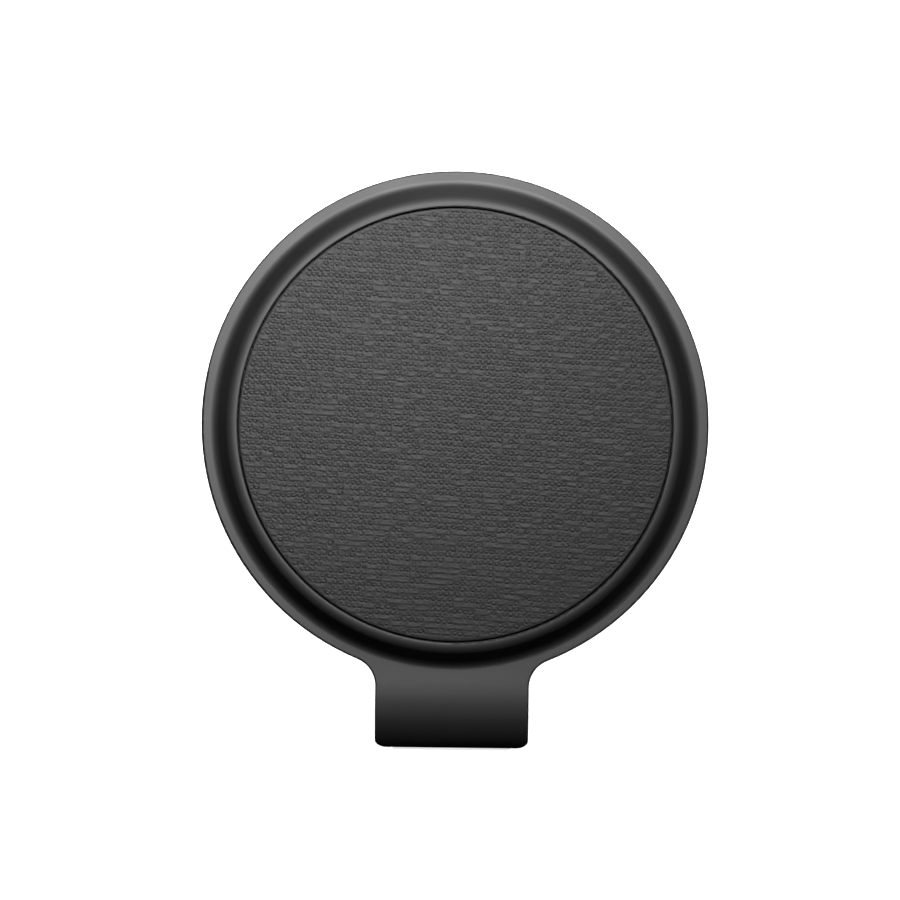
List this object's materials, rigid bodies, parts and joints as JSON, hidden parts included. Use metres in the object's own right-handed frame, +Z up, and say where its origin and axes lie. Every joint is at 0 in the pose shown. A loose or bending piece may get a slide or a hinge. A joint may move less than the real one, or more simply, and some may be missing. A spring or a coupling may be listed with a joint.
{
  "type": "smart home hub",
  "caption": "Round black smart home hub: textured press-face in a thin-brimmed bezel whose curled tab is its toe, cupped rear shell with ports and keyholes, folding stand leg.",
  "frame": {"origin": "middle of the toe pad's contact face, on the table the hub stands on", "axes": "+Z up, the face looks along -Y and leans back 15 degrees, +X to the right seen from the front"},
  "size_m": [0.1, 0.0566, 0.1121],
  "materials": {
    "bezel_plastic": "soft-touch, very fine, even, slightly satin",
    "face_film": "embossed with an irregular square weave, matt with a low sheen",
    "shell_plastic": "fine spark-eroded moulding texture",
    "leg_plastic": "fine spark-eroded moulding texture",
    "button_plastic": "satin moulded",
    "foot_rubber": "matt silicone rubber",
    "carrier_plastic": "as moulded",
    "frame_plastic": "as moulded, glass filled",
    "adhesive": "thin adhesive transfer film",
    "light_guide": "milky diffusing polycarbonate",
    "circuit_board": "solder mask over glass epoxy",
    "led_white": "phosphor window in white epoxy",
    "ribbon_film": "polyimide flat ribbon",
    "connector_plastic": "moulded nylon",
    "chip_epoxy": "moulded epoxy",
    "shield_tin": "tin-plated steel",
    "thermal_silicone": "soft filled silicone",
    "spreader_aluminium": "mill-finish sheet",
    "capacitor_can": "drawn can",
    "ferrite": "sintered",
    "gold_contact": "thin gold plate",
    "socket_steel": "nickel-plated drawn shell",
    "switch_steel": "pressed cover",
    "antenna_film": "printed copper on film",
    "coax_jacket": "extruded jacket",
    "chamber_plastic": "as moulded",
    "gasket_foam": "closed-cell foam",
    "cone_paper": "pressed fibre cone",
    "grille_cloth": "fine acoustic mesh",
    "screw_steel": "black zinc plate",
    "bracket_steel": "pressed, nickel plated",
    "pin_steel": "ground and plated",
    "washer_polymer": "acetal",
    "label_film": "blank satin film"
  },
  "bodies": {
    "head": {"front_bezel": "bezel_plastic", "halo_board": "circuit_board", "halo_leds": "led_white", "light_guide": "light_guide", "halo_ribbon": "ribbon_film", "ribbon_socket": "connector_plastic", "mid_frame": "frame_plastic", "mid_frame_screws": "screw_steel", "main_board": "circuit_board", "board_screws": "screw_steel", "blank_label": "label_film", "board_chips": "chip_epoxy", "board_plugs": "connector_plastic", "capacitors": "capacitor_can", "coax_plugs": "gold_contact", "face_switch": "switch_steel", "friction_washers": "washer_polymer", "grille_cloth": "grille_cloth", "heat_spreader": "spreader_aluminium", "hinge_bracket": "bracket_steel", "hinge_pin": "pin_steel", "hinge_screws": "screw_steel", "mesh_antenna_cable": "coax_jacket", "mesh_radio_antenna": "antenna_film", "mesh_radio_module": "shield_tin", "network_contacts": "gold_contact", "network_socket": "connector_plastic", "power_inductor": "ferrite", "processor_and_memory": "chip_epoxy", "processor_shield": "shield_tin", "rear_shell": "shell_plastic", "reset_switch": "switch_steel", "shell_screws": "screw_steel", "speaker_cable": "coax_jacket", "speaker_chamber": "chamber_plastic", "speaker_cone": "cone_paper", "speaker_frame": "frame_plastic", "speaker_gasket": "gasket_foam", "speaker_magnet": "ferrite", "speaker_surround": "gasket_foam", "thermal_pad": "thermal_silicone", "toe_pad": "foot_rubber", "usb_power_socket": "socket_steel", "usb_tongue": "connector_plastic", "wifi_antenna": "antenna_film", "wifi_antenna_cable": "coax_jacket", "wifi_module": "shield_tin"},
    "leg": {"stand_leg": "leg_plastic", "leg_foot_pad": "foot_rubber"},
    "face_panel": {"face_skin": "face_film", "face_adhesive": "adhesive", "face_carrier": "carrier_plastic"},
    "face_switch_plunger": {"face_switch_stem": "button_plastic"},
    "reset_key": {"reset_button": "button_plastic"},
    "reset_switch_plunger": {"reset_switch_stem": "button_plastic"}
  },
  "joints": [
    {"name": "leg_fold", "type": "hinge", "parent": "head", "child": "leg", "pos_m": [0, 0.02375, 0.06112], "axis": [1, 0, 0], "range_deg": [-32, 13]},
    {"name": "face_press", "type": "slide", "parent": "head", "child": "face_panel", "axis": [0, 0.9659, -0.2588], "range_m": [0, 0.0006], "stiffness_N_per_m": 250, "springref_m": -0.0008},
    {"name": "face_switch_travel", "type": "slide", "parent": "head", "child": "face_switch_plunger", "axis": [0, 0.9659, -0.2588], "range_m": [0, 0.0006]},
    {"name": "reset_press", "type": "slide", "parent": "head", "child": "reset_key", "axis": [0, -0.9659, 0.2588], "range_m": [0, 0.0007], "stiffness_N_per_m": 15, "springref_m": -0.003},
    {"name": "reset_switch_travel", "type": "slide", "parent": "head", "child": "reset_switch_plunger", "axis": [0, -0.9659, 0.2588], "range_m": [0, 0.0007]}
  ],
  "couplings": [
    {"joint": "face_switch_travel", "follows": "face_press", "ratio": 1},
    {"joint": "reset_switch_travel", "follows": "reset_press", "ratio": 1}
  ]
}
